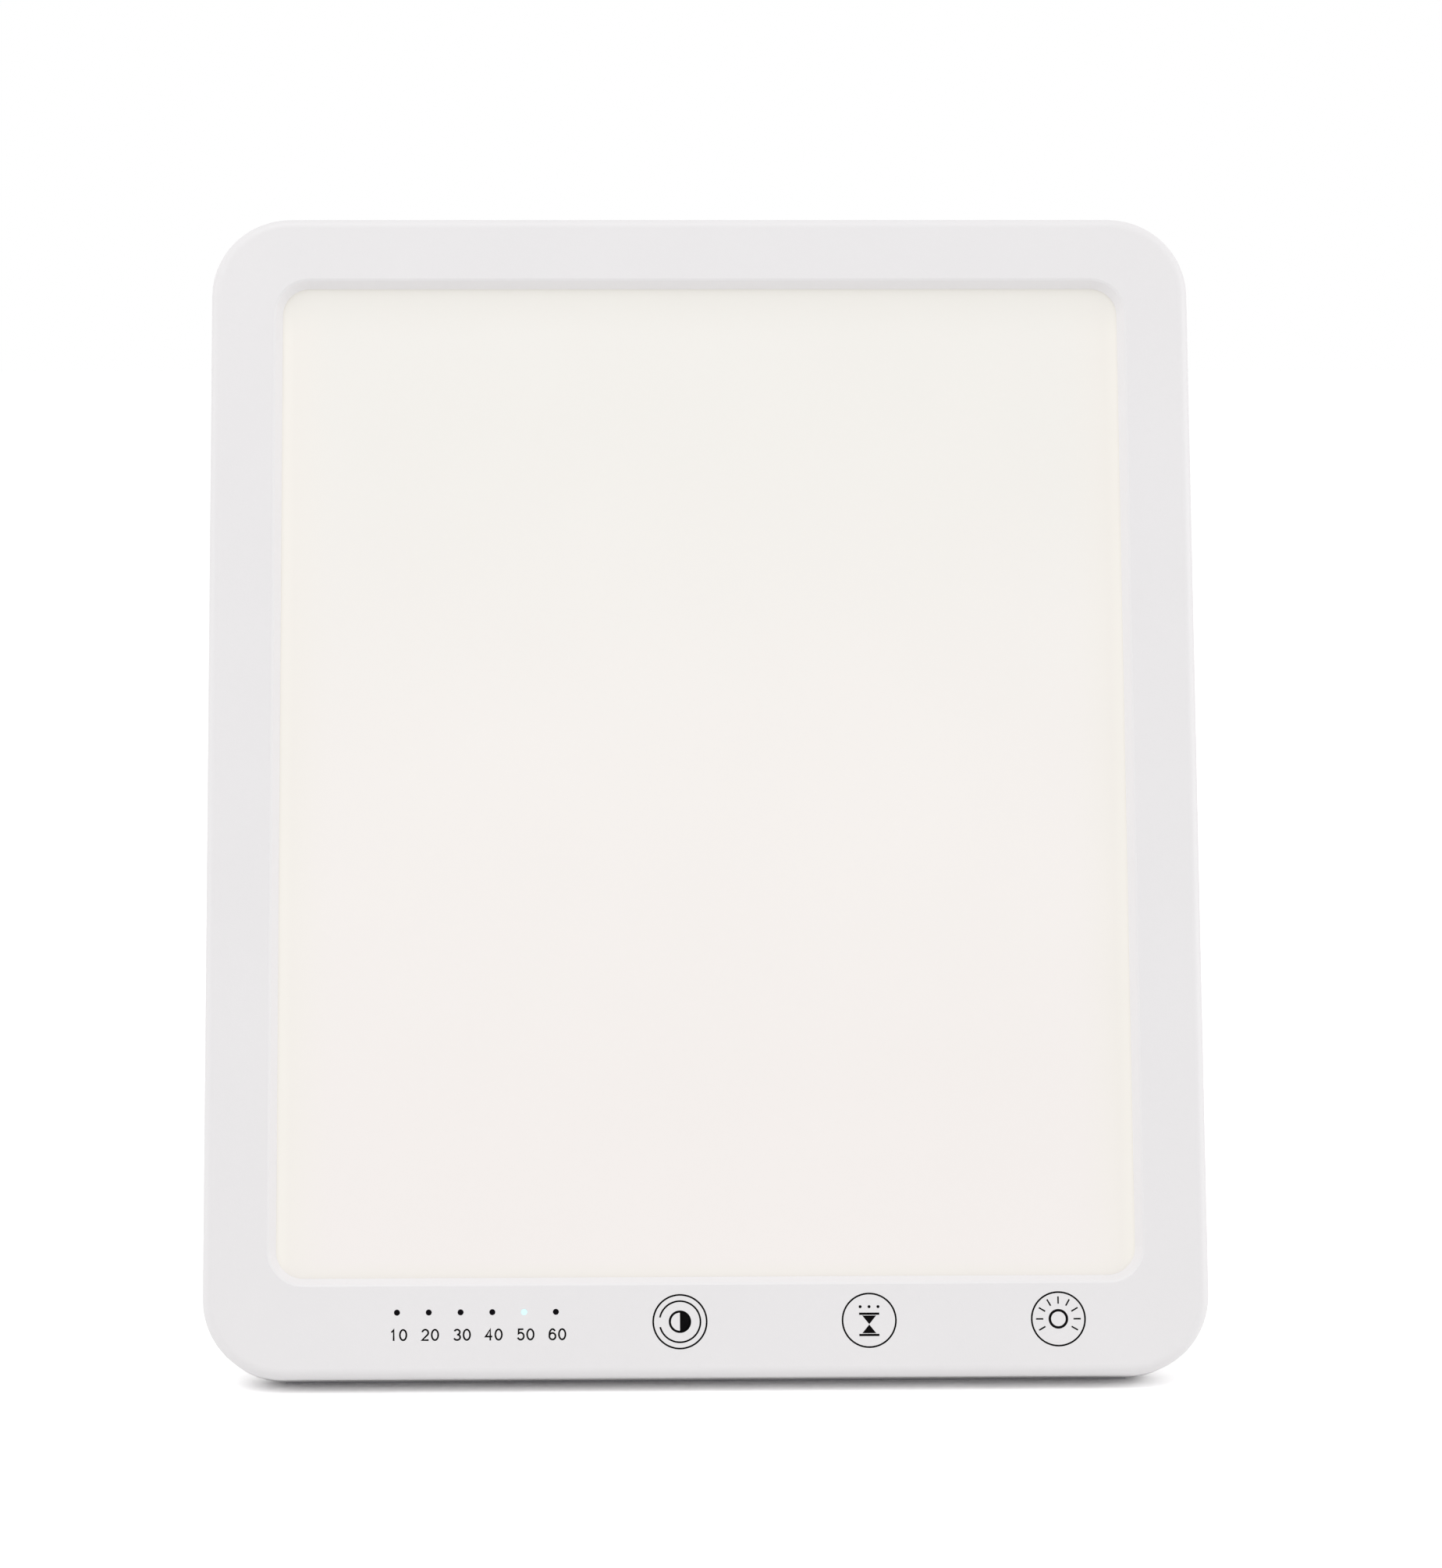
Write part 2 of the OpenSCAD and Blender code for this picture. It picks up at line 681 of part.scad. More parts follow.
module lens(i) {
    rod_y(dot_r, 0, lens_reach, dot_x + i * dot_pitch, dot_z);
    rod_y(dot_collar_r, face_t, face_t + dot_collar_t, dot_x + i * dot_pitch, dot_z);
}
module indicator_lenses() color(clear) stand_up()
    for (i = [0 : dot_count - 1]) if (i != dot_lit) lens(i);
module indicator_lens_lit() color("white") stand_up() lens(min(dot_lit, dot_count - 1));

// ---- power inlet and leads ----

module dc_jack() color(black) stand_up() difference() {
    union() {
        plate(jack_l, jack_h, jack_y - jack_t / 2, jack_y + jack_t / 2,
            jack_face - jack_l / 2, jack_z);
        rod_x(jack_nose_r, jack_face - eps, jack_mouth, jack_y, jack_z);
    }
    rod_x(jack_bore_r, jack_mouth - jack_bore_l, half_w, jack_y, jack_z);
}

module dc_jack_pin() color(metal) stand_up() {
    rod_x(jack_pin_r, jack_mouth - jack_bore_l, jack_mouth - jack_pin_in, jack_y, jack_z);
}

module jack_leads() color([0.6, 0.1, 0.1]) stand_up() for (i = [-1, 1]) {
    x_end = socket_x[1] - contact_half * i;
    y_end = board_back + socket_t;
    wire([[jack_tail, jack_y, jack_z + tag_half * i],
        [jack_tail - lead_step, jack_y, jack_z + tag_half * i],
        [jack_tail - lead_step - lead_bow, jack_y, jack_z - 2 * lead_end + tag_half * i],
        [x_end + lead_bow, jack_y, board_mid + lead_fall],
        [x_end, y_end + lead_step + lead_end, board_mid + 2 * lead_end],
        [x_end, y_end + lead_end, board_mid],
        [x_end, y_end, board_mid]]);
}

module led_leads() color([0.85, 0.85, 0.85]) stand_up() for (i = [-1, 1]) {
    x_strip = flange_x - wire_r - seat;
    y_strip = guide_y + guide_t / 2;
    x_end = socket_x[1] + socket_w / 2;
    wire([[i * x_strip, y_strip, window_mid - strip_h / 2],
        [i * x_strip, y_strip, window_mid - sheet_h / 2],
        [i * (x_strip - lead_step), y_strip + wire_r, board_mid + lead_bow],
        [i * (x_strip + x_end) / 2, board_back + lead_end, board_mid + lead_end],
        [i * x_end, board_back + lead_end, board_mid + lead_end]]);
}

// ---- stand ----

module stand_hub() color(white) stand_up() difference() {
    union() {
        rod_y(hub_r, hub_front, hub_back - 1, 0, hub_z);
        translate([0, hub_back - 1 - eps, hub_z]) rotate([-90, 0, 0])
            cylinder(r1 = hub_r, r2 = hub_r - 1, h = 1 + eps);
        rod_y(neck_r, neck_front, hub_front + eps, 0, hub_z);
    }
    // slot for the leg, open at the bottom, with room for the heel above the hinge
    translate([-slot_w / 2, slot_floor, hub_z - hub_r - past])
        cube([slot_w, past, hinge_up + hub_r + past + heel_reach + gap]);
    rod_x(pin_r + pin_seat_play, -hub_r, hub_r, hinge_y, hinge_z);
    for (a = [90, 210, 330])
        rod_y(hub_screw_r + seat, neck_front - eps, neck_front + hub_screw_l,
            hub_screw_ring * cos(a), hub_z + hub_screw_ring * sin(a));
}

module hub_retainer() color(metal) stand_up() difference() {
    rod_y(retainer_r, neck_front - retainer_t, neck_front, 0, hub_z);
    for (a = [90, 210, 330])
        rod_y(hub_screw_r + 2 * seat, 0, panel_t,
            hub_screw_ring * cos(a), hub_z + hub_screw_ring * sin(a));
}

module hub_friction_ring() color(rubber) stand_up() difference() {
    rod_y(retainer_r - 1, neck_front, neck_front + ring_t, 0, hub_z);
    rod_y(neck_r + 2 * seat, 0, panel_t, 0, hub_z);
}

module retainer_screws() color(metal) stand_up() for (a = [90, 210, 330])
    translate([0, 2 * (neck_front - retainer_t), 0]) mirror([0, 1, 0])
        screw_y(hub_screw_r, neck_front - retainer_t - hub_screw_l + gap, neck_front - retainer_t,
            hub_head_r, hub_head_t, hub_screw_ring * cos(a), hub_z + hub_screw_ring * sin(a));

module hinge_pin() color(metal) stand_up()
    rod_x(pin_r, -pin_l / 2, pin_l / 2, hinge_y, hinge_z);

module hinge_washers() color(metal) stand_up() for (i = [-1, 1]) difference() {
    rod_x(leg_t / 2 - leg_play, i * (leg_w / 2 + leg_play / 2) - washer_t / 2,
        i * (leg_w / 2 + leg_play / 2) + washer_t / 2, hinge_y, hinge_z);
    rod_x(pin_r + pin_seat_play, -hub_r, hub_r, hinge_y, hinge_z);
}

// puts a piece of the open leg at its hinge
module at_hinge() {
    stand_up() translate([0, hinge_y, hinge_z]) children();
}

// side view of the open leg: round hinge end, blade, and the heel that meets the slot's floor
module leg_side() {
    heel_t = hinge_y - slot_floor - stop_play;
    circle(leg_t / 2);
    rotate(fold) translate([-leg_t / 2, -leg_l - leg_t]) square([leg_t, leg_l + leg_t]);
    translate([-heel_t, 0]) square([heel_t, heel_l]);
}

// face view of the leg, its lower corners round
module leg_face() {
    end = leg_l + leg_t / 2 * tan(fold - lean);
    half = leg_w / 2;
    translate([-half, leg_corner_r - end]) square([leg_w, end]);
    translate([leg_corner_r - half, -end]) square([leg_w - 2 * leg_corner_r, end]);
    for (i = [-1, 1])
        translate([i * (half - leg_corner_r), leg_corner_r - end]) circle(leg_corner_r);
}

// the open leg before it is cut level with the table
module leg_blank() {
    at_hinge() intersection() {
        translate([-leg_w / 2, 0, 0]) rotate([90, 0, 90]) linear_extrude(leg_w) leg_side();
        rotate([fold, 0, 0]) translate([0, leg_l / 2, 0]) rotate([90, 0, 0])
            linear_extrude(leg_l) leg_face();
    }
}

// all that is more than h above the table
module above(h) {
    translate([-panel_w, -panel_w, h]) cube([2 * panel_w, 3 * panel_w, 2 * panel_h]);
}

module stand_leg() color(white) difference() {
    intersection() {
        leg_blank();
        above(pad_h);
    }
    at_hinge() rod_x(pin_r + pin_play, -leg_w, leg_w, 0, 0);
}

module leg_foot_pad() color(rubber) difference() {
    intersection() {
        leg_blank();
        above(0);
    }
    above(pad_h);
}

front_bezel();
rear_cover();
window_gasket();
diffuser_plate();
diffuser_film();
light_guide();
reflector_sheet();
backing_tray();
led_board_left();
led_board_right();
led_chips_left();
led_chips_right();
control_board();
board_chips();
board_inductor();
lead_sockets();
board_screws();
touch_springs();
indicator_leds();
light_shroud();
indicator_lenses();
indicator_lens_lit();
dc_jack();
dc_jack_pin();
jack_leads();
led_leads();
case_screws();
screw_caps();
foot_strip();
stand_hub();
hub_retainer();
hub_friction_ring();
retainer_screws();
hinge_pin();
hinge_washers();
stand_leg();
leg_foot_pad();
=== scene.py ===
# A light therapy lamp: a flat white panel that glows through an opal plate, with printed touch
# keys and timer dots along its lower edge, leaning back on a fold-out stand.
# Lengths are in metres. A place on the panel is given as (across, depth, up).
import json
import math

import bmesh
import bpy
from mathutils import Matrix, Vector


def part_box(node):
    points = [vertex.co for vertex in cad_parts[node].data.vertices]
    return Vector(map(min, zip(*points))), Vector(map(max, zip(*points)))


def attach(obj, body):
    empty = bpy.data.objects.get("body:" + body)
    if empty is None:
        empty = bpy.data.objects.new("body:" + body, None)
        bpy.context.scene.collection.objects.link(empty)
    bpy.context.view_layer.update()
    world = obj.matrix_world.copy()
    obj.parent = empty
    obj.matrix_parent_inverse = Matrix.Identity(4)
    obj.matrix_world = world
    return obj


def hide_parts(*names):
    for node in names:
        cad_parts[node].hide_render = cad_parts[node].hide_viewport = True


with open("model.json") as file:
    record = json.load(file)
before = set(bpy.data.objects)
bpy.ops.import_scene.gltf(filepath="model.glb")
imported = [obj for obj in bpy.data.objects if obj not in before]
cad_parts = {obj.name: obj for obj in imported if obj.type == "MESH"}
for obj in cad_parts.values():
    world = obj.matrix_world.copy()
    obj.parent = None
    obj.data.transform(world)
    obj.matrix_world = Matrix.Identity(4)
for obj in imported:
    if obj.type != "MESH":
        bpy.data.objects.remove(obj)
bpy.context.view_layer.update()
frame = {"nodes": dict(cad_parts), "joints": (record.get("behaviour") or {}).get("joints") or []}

# ---- How the panel stands ----
# The case is one flat slab that leans back. The axis of the stand's swivel runs square through
# it, so that axis gives the direction of the depth and of the way up the face.
swivel = next(joint for joint in frame["joints"] if joint["name"] == "stand_swivel")
hub_up = 0.100
hub_pocket = 0.016
depth_way = Vector(swivel["axis"])
up_way = Vector((0, -depth_way.z, depth_way.y))
panel_foot = Vector(swivel["pos_m"]) - hub_pocket * depth_way - hub_up * up_way
panel_place = Matrix.Translation(panel_foot) @ Matrix((
    (1, depth_way.x, up_way.x, 0),
    (0, depth_way.y, up_way.y, 0),
    (0, depth_way.z, up_way.z, 0),
    (0, 0, 0, 1)))

# ---- Camera ----
# It stands a metre in front of the lamp, a little to the left and a little above its middle, and
# looks at a point of the face just beside the middle.
camera_aim = panel_place @ Vector((0.0035, 0, 0.1190))
camera_distance = 1.0419
camera_turn = math.radians(1.41)
camera_rise = math.radians(6.495)
camera_back = Vector((
    -math.sin(camera_turn) * math.cos(camera_rise),
    -math.cos(camera_turn) * math.cos(camera_rise),
    math.sin(camera_rise)))
camera = bpy.data.objects.new("camera", bpy.data.cameras.new("camera"))
camera.data.lens = 118.57
camera.data.sensor_width = 36
camera.data.clip_start = 0.01
camera.location = camera_aim + camera_distance * camera_back
camera.rotation_euler = (-camera_back).to_track_quat("-Z", "Y").to_euler()
bpy.context.scene.collection.objects.link(camera)
bpy.context.scene.camera = camera


# ---- White case ----
# The front bezel and the rear cover are moulded in white plastic, the bezel satin and the cover
# with a slightly coarser grain. The cover closes the bezel from behind.
def moulding_grain():
    """Fine height and broad patches that moulded plastic shows, from the place on the object."""
    group = bpy.data.node_groups.new("moulding grain", "ShaderNodeTree")
    socket = group.interface.new_socket
    socket("Fine", in_out="INPUT", socket_type="NodeSocketFloat")
    socket("Broad", in_out="INPUT", socket_type="NodeSocketFloat")
    socket("Height", in_out="OUTPUT", socket_type="NodeSocketFloat")
    socket("Patches", in_out="OUTPUT", socket_type="NodeSocketFloat")
    nodes, links = group.nodes, group.links
    inputs = nodes.new("NodeGroupInput")
    outputs = nodes.new("NodeGroupOutput")
    place = nodes.new("ShaderNodeTexCoord")
    fine = nodes.new("ShaderNodeTexNoise")
    broad = nodes.new("ShaderNodeTexNoise")
    spread = nodes.new("ShaderNodeMapRange")
    fine.inputs["Detail"].default_value = 3
    broad.inputs["Detail"].default_value = 2
    spread.inputs["From Min"].default_value = 0.3
    spread.inputs["From Max"].default_value = 0.7
    links.new(place.outputs["Object"], fine.inputs["Vector"])
    links.new(place.outputs["Object"], broad.inputs["Vector"])
    links.new(inputs.outputs["Fine"], fine.inputs["Scale"])
    links.new(inputs.outputs["Broad"], broad.inputs["Scale"])
    links.new(broad.outputs["Fac"], spread.inputs["Value"])
    links.new(fine.outputs["Fac"], outputs.inputs["Height"])
    links.new(spread.outputs["Result"], outputs.inputs["Patches"])
    return group


grain = moulding_grain()


def grained(name, low, high, rough, fine=2500, broad=40, depth=0.00001, metallic=0.0, coat=0.0,
        shine=0.5):
    """A material whose colour and roughness drift in patches over a fine grain."""
    material = bpy.data.materials.new(name)
    material.use_nodes = True
    nodes, links = material.node_tree.nodes, material.node_tree.links
    shader = nodes["Principled BSDF"]
    shader.inputs["Metallic"].default_value = metallic
    shader.inputs["Coat Weight"].default_value = coat
    shader.inputs["Specular IOR Level"].default_value = shine
    pattern = nodes.new("ShaderNodeGroup")
    pattern.node_tree = grain
    pattern.inputs["Fine"].default_value = fine
    pattern.inputs["Broad"].default_value = broad
    tint = nodes.new("ShaderNodeMix")
    tint.data_type = "RGBA"
    tint.inputs["A"].default_value = (*low, 1)
    tint.inputs["B"].default_value = (*high, 1)
    gloss = nodes.new("ShaderNodeMapRange")
    gloss.inputs["To Min"].default_value = rough[0]
    gloss.inputs["To Max"].default_value = rough[1]
    bump = nodes.new("ShaderNodeBump")
    bump.inputs["Distance"].default_value = depth
    links.new(pattern.outputs["Patches"], tint.inputs["Factor"])
    links.new(pattern.outputs["Patches"], gloss.inputs["Value"])
    links.new(pattern.outputs["Height"], bump.inputs["Height"])
    links.new(tint.outputs["Result"], shader.inputs["Base Color"])
    links.new(gloss.outputs["Result"], shader.inputs["Roughness"])
    links.new(bump.outputs["Normal"], shader.inputs["Normal"])
    return material


def dress(node, material):
    """Gives a CAD node its finish."""
    node_object = frame["nodes"][node]
    node_object.data.materials.clear()
    node_object.data.materials.append(material)


case_white = grained("satin white plastic", (0.813, 0.798, 0.806), (0.821, 0.806, 0.814),
    (0.42, 0.48))
back_white = grained("grained white plastic", (0.815, 0.80, 0.807), (0.832, 0.817, 0.824),
    (0.5, 0.58), fine=1600, depth=0.00004)
dress("front_bezel", case_white)
dress("rear_cover", back_white)

# ---- Opal plate ----
# A milky acrylic plate and a film of the same tone, laid into the bezel and lit from behind. The
# glow is less red above, pinker below and warmer beside the light strips at the left and right,
# where a painted highlight lays a pale line along it. Painted shade dims its upper and lower
# edges, where the walls of the window's recess shade it.
plate_lap = 0.003
glow_strength = 0.452
glow_middle = (0.995, 0.93, 0.875, 1)
glow_upper = (0.94, 0.905, 0.83, 1)
glow_lower = (0.977, 0.898, 0.857, 1)
glow_side = (0.975, 0.915, 0.82, 1)
# painted highlight: a pale line of extra glow along the left and right edges of the plate
side_painted_highlight = (1.03, 0.975, 0.87, 1)
# painted shade: darker glow along the top and bottom edges, where the window's walls shade the
# plate
top_painted_shade = (0.88, 0.845, 0.76, 1)
low_painted_shade = (0.95, 0.89, 0.81, 1)
upper_start, upper_end = 0.09, 0.02
lower_start, lower_end = 0.11, 0.01
side_reach = 0.012
# the band of the painted highlight line, in from the side edge
side_highlight_start, side_highlight_end = 0.003, 0.0005
# how far the painted shade reaches in from the top and bottom edges
top_shade_reach = 0.011
low_shade_reach = 0.004
opal = grained("opal acrylic", (0.445, 0.44, 0.435), (0.452, 0.447, 0.442), (0.40, 0.46),
    fine=900, broad=25, depth=0.000002)
plate = frame["nodes"]["diffuser_plate"]
plate_ups = [(plate.matrix_world @ vertex.co).dot(up_way) for vertex in plate.data.vertices]
window_low, window_top = min(plate_ups) + plate_lap, max(plate_ups) - plate_lap
window_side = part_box("diffuser_plate")[1].x - plate_lap
nodes, links = opal.node_tree.nodes, opal.node_tree.links
opal_place = nodes.new("ShaderNodeTexCoord")


def reach_along(way):
    """How far a point of the plate lies along a direction of the object."""
    along = nodes.new("ShaderNodeVectorMath")
    along.operation = "DOT_PRODUCT"
    along.inputs[1].default_value = way
    links.new(opal_place.outputs["Object"], along.inputs[0])
    return along.outputs["Value"]


def soft_step(value, start, end):
    """Goes from none to all while the value goes from start to end."""
    step = nodes.new("ShaderNodeMapRange")
    step.interpolation_type = "SMOOTHSTEP"
    step.inputs["From Min"].default_value = start
    step.inputs["From Max"].default_value = end
    links.new(value, step.inputs["Value"])
    return step.outputs["Result"]


def blend(share, first, second):
    """Mixes two colours. The first may be another node's output."""
    mix = nodes.new("ShaderNodeMix")
    mix.data_type = "RGBA"
    links.new(share, mix.inputs["Factor"])
    if isinstance(first, bpy.types.NodeSocket):
        links.new(first, mix.inputs["A"])
    else:
        mix.inputs["A"].default_value = first
    mix.inputs["B"].default_value = second
    return mix.outputs["Result"]


from_middle = nodes.new("ShaderNodeMath")
from_middle.operation = "ABSOLUTE"
links.new(reach_along((1, 0, 0)), from_middle.inputs[0])
aside = from_middle.outputs["Value"]
height = reach_along(up_way)
glow = glow_middle
for share, tone in (
        (soft_step(height, window_low + upper_start, window_top - upper_end), glow_upper),
        (soft_step(height, window_low + lower_start, window_low + lower_end), glow_lower),
        (soft_step(aside, window_side - side_reach, window_side), glow_side),
        # painted highlight along the side edges
        (soft_step(aside, window_side - side_highlight_start, window_side - side_highlight_end),
            side_painted_highlight),
        # painted shade along the top and bottom edges
        (soft_step(height, window_top - top_shade_reach, window_top), top_painted_shade),
        (soft_step(height, window_low + low_shade_reach, window_low), low_painted_shade)):
    glow = blend(share, glow, tone)
links.new(glow, nodes["Principled BSDF"].inputs["Emission Color"])
nodes["Principled BSDF"].inputs["Emission Strength"].default_value = glow_strength
dress("diffuser_plate", opal)
dress("diffuser_film", opal)

# ---- Light guide ----
# A clear acrylic guide behind the plate, with a white reflector sheet and a metal tray at its
# back and a soft gasket round the window. Boards with yellow light chips stand at its left and
# right edges and push their light into it.
clear_acrylic = grained("clear acrylic", (0.85, 0.9, 0.92), (0.88, 0.93, 0.95), (0.05, 0.1),
    fine=800, broad=60, depth=0.000001)
reflector = grained("reflector sheet", (0.86, 0.86, 0.84), (0.9, 0.9, 0.88), (0.3, 0.45),
    fine=1500, broad=80, depth=0.000004)
sheet_metal = grained("mill-finish sheet", (0.6, 0.61, 0.63), (0.72, 0.73, 0.74), (0.35, 0.5),
    fine=1800, broad=120, depth=0.00001, metallic=1.0)
ivory = grained("ivory plastic", (0.75, 0.72, 0.6), (0.82, 0.79, 0.67), (0.4, 0.55),
    fine=2600, broad=260, depth=0.00001)
phosphor = grained("phosphor", (0.85, 0.7, 0.2), (0.92, 0.8, 0.3), (0.2, 0.35), fine=5000,
    broad=900, depth=0.000003)
pale_silicone = grained("pale silicone", (0.50, 0.49, 0.52), (0.56, 0.55, 0.58), (0.6, 0.75),
    fine=2200, broad=150, depth=0.00002)
dress("light_guide", clear_acrylic)
dress("reflector_sheet", reflector)
dress("backing_tray", sheet_metal)
dress("window_gasket", pale_silicone)
for side in ("left", "right"):
    dress("led_board_" + side, ivory)
    dress("led_chips_" + side, phosphor)

# ---- Control board ----
# A green board screwed to posts of the bezel below the window. It carries black chips and an
# inductor, two ivory sockets for the leads, and the timer's lamps in a black shroud.
board_green = grained("solder mask", (0.02, 0.12, 0.05), (0.04, 0.18, 0.08), (0.25, 0.4),
    fine=2600, broad=260, depth=0.000008, coat=0.3)
black_plastic = grained("black plastic", (0.012, 0.012, 0.013), (0.024, 0.024, 0.025),
    (0.35, 0.5), fine=2600, broad=200, depth=0.00001)
steel = grained("plated steel", (0.55, 0.55, 0.56), (0.68, 0.68, 0.69), (0.25, 0.4),
    fine=3000, broad=300, depth=0.000006, metallic=1.0)
dress("control_board", board_green)
dress("board_screws", steel)
for node in ("board_chips", "board_inductor", "light_shroud"):
    dress(node, black_plastic)
for node in ("lead_sockets", "indicator_leds"):
    dress(node, ivory)

# ---- Touch keys ----
# Each key is a ring with a sign in it, pad-printed in thin black ink straight onto the bezel. It
# has no travel: a bronze spring behind it senses the finger.
ink_up = 0.000012
ink_down = 0.000004
ink_weld = 1e-7
ink_black = grained("printed ink", (0.0015, 0.0012, 0.0015), (0.004, 0.0035, 0.004),
    (0.6, 0.75), fine=9000, broad=900, depth=0.000002, shine=0.04)
spring_bronze = grained("spring bronze", (0.72, 0.45, 0.25), (0.85, 0.58, 0.35), (0.2, 0.35),
    fine=5000, broad=600, depth=0.000003, metallic=1.0)
dress("touch_springs", spring_bronze)


def printed(name, bm):
    """Makes the ink a piece of the bezel's face."""
    bmesh.ops.remove_doubles(bm, verts=bm.verts, dist=ink_weld)
    bmesh.ops.recalc_face_normals(bm, faces=bm.faces)
    bm.transform(panel_place)
    mesh = bpy.data.meshes.new(name)
    bm.to_mesh(mesh)
    bm.free()
    mesh.materials.append(ink_black)
    piece = bpy.data.objects.new(name, mesh)
    bpy.context.scene.collection.objects.link(piece)
    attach(piece, "housing")


def ink_arc(bm, across, up, radius, width, start=0, sweep=360, steps=96):
    """A band of ink round a middle, closed when it sweeps all the way."""
    first = math.radians(start)
    corners = []
    for reach, depth in ((-1, -ink_up), (1, -ink_up), (1, ink_down), (-1, ink_down)):
        out = radius + reach * width / 2
        corners.append(bm.verts.new(
            (across + out * math.cos(first), depth, up + out * math.sin(first))))
    edges = [bm.edges.new((corners[i], corners[(i + 1) % 4])) for i in range(4)]
    bmesh.ops.spin(bm, geom=edges + corners, cent=(across, 0, up), axis=(0, -1, 0),
        angle=math.radians(sweep), steps=steps, use_merge=sweep == 360)
    if sweep != 360:
        ends = [edge for edge in bm.edges if edge.is_boundary]
        bmesh.ops.holes_fill(bm, edges=ends, sides=4)


def ink_dot(bm, across, up, radius, sides=40, turn=0, squash=1):
    """A filled round, or a filled polygon of few sides."""
    middle = Vector((across, (ink_down - ink_up) / 2, up))
    place = (Matrix.Translation(middle) @ Matrix.Diagonal((1, 1, squash, 1))
        @ Matrix.Rotation(math.radians(turn), 4, "Y") @ Matrix.Rotation(math.pi / 2, 4, "X"))
    return bmesh.ops.create_cone(bm, cap_ends=True, segments=sides, radius1=radius,
        radius2=radius, depth=ink_up + ink_down, matrix=place)["verts"]


def ink_ray(bm, across, up, angle, inner, outer, width):
    """A short straight stroke that points at a middle."""
    way = math.radians(angle)
    half = (inner + outer) / 2
    middle = Vector((across + half * math.cos(way), (ink_down - ink_up) / 2,
        up + half * math.sin(way)))
    size = Matrix.Diagonal((outer - inner, ink_up + ink_down, width, 1))
    place = Matrix.Translation(middle) @ Matrix.Rotation(-way, 4, "Y") @ size
    bmesh.ops.create_cube(bm, size=1, matrix=place)


ring_radius = 0.00530
ring_width = 0.00034

# light colour key: an open ring and a round half of which is filled
colour_across, colour_up = -0.00537, 0.01094
open_ring_radius = 0.00406
open_ring_start, open_ring_sweep = -165, 333
half_round_radius = 0.0020
half_round_width = 0.00045
bm = bmesh.new()
ink_arc(bm, colour_across, colour_up, ring_radius, ring_width)
ink_arc(bm, colour_across, colour_up, open_ring_radius, ring_width, start=open_ring_start,
    sweep=open_ring_sweep, steps=80)
ink_arc(bm, colour_across, colour_up, half_round_radius, half_round_width, steps=64)
disc = ink_dot(bm, colour_across, colour_up, half_round_radius)
disc_faces = {face for vert in disc for face in vert.link_faces}
disc_edges = {edge for vert in disc for edge in vert.link_edges}
bmesh.ops.bisect_plane(bm, geom=disc + list(disc_edges) + list(disc_faces),
    plane_co=(colour_across, 0, colour_up), plane_no=(-1, 0, 0), clear_outer=True)
bmesh.ops.holes_fill(bm, edges=[edge for edge in bm.edges if edge.is_boundary], sides=8)
printed("colour_key_symbol", bm)

# timer key: three small dots over a sand glass
timer_across, timer_up = 0.03218, 0.01102
sand_dot_radius = 0.0003
sand_dot_pitch = 0.00177
sand_dot_up = 0.0027
glass_drop = 0.0008
glass_up = timer_up - glass_drop
glass_radius = 0.0016
glass_squash = 0.72
glass_half = 0.00118
glass_end_up = 0.0021
glass_end_half = 0.0020
glass_end_width = 0.00045
bm = bmesh.new()
ink_arc(bm, timer_across, timer_up, ring_radius, ring_width)
for step in (-1, 0, 1):
    ink_dot(bm, timer_across + step * sand_dot_pitch, timer_up + sand_dot_up, sand_dot_radius,
        sides=20)
for side, turn in ((1, 180), (-1, 0)):
    ink_dot(bm, timer_across, glass_up + side * glass_half, glass_radius, sides=3, turn=turn,
        squash=glass_squash)
for side in (-1, 1):
    ink_ray(bm, timer_across, glass_up + side * glass_end_up, 0, -glass_end_half,
        glass_end_half, glass_end_width)
printed("timer_key_symbol", bm)

# brightness key: a round with nine rays over and beside it
bright_across, bright_up = 0.06978, 0.01111
ray_count = 9
ray_first = -30
ray_turn = 30
ray_inner, ray_outer = 0.0030, 0.00445
ray_width = 0.00030
sun_radius = 0.0017
sun_width = 0.0005
bm = bmesh.new()
ink_arc(bm, bright_across, bright_up, ring_radius, ring_width)
for step in range(ray_count):
    ink_ray(bm, bright_across, bright_up, ray_first + ray_turn * step, ray_inner, ray_outer,
        ray_width)
ink_arc(bm, bright_across, bright_up, sun_radius, sun_width, steps=64)
printed("brightness_key_symbol", bm)

# ---- Timer numbers ----
# The minutes are printed in the same ink under the timer dots, each figure drawn with a round of
# plain strokes of one width.
dot_first = -0.0614
dot_pitch = 0.00629
number_shift = 0.00028
number_up = 0.00859
figure_wide = 0.00064
figure_high = 0.00102
figure_step = 0.00096
stroke_width = 0.00034
stroke_mitre = 0.5


def bow(across, up, wide, high, start, end, steps=16):
    """Points along part of an ellipse, from one angle to another."""
    turns = [math.radians(start + (end - start) * i / steps) for i in range(steps + 1)]
    return [(across + wide * math.cos(turn), up + high * math.sin(turn)) for turn in turns]


# the strokes of each figure in a box of -1 to 1 both ways, with free ends a little longer
figures = {
    "0": [bow(0, 0, 1, 1, 90, 450, 32)],
    "1": [[(-0.62, 0.5), (0.08, 1), (0.08, -1.12)]],
    "2": [bow(0, 0.42, 0.93, 0.6, 170, -38) + [(-0.95, -1), (1.05, -1)]],
    "3": [bow(0, 0.51, 0.85, 0.5, 160, -90), bow(0, -0.48, 0.97, 0.53, 90, -160)],
    "4": [[(0.42, -1.12), (0.42, 1), (-1, -0.38), (1.05, -0.38)]],
    "5": [[(0.85, 1), (-0.62, 1)] + bow(0, -0.33, 0.97, 0.68, 134, -158)],
    "6": [bow(0, -0.38, 0.95, 0.63, 180, -180, 28), bow(0.04, -0.1, 0.99, 1.1, 192, 42)],
}


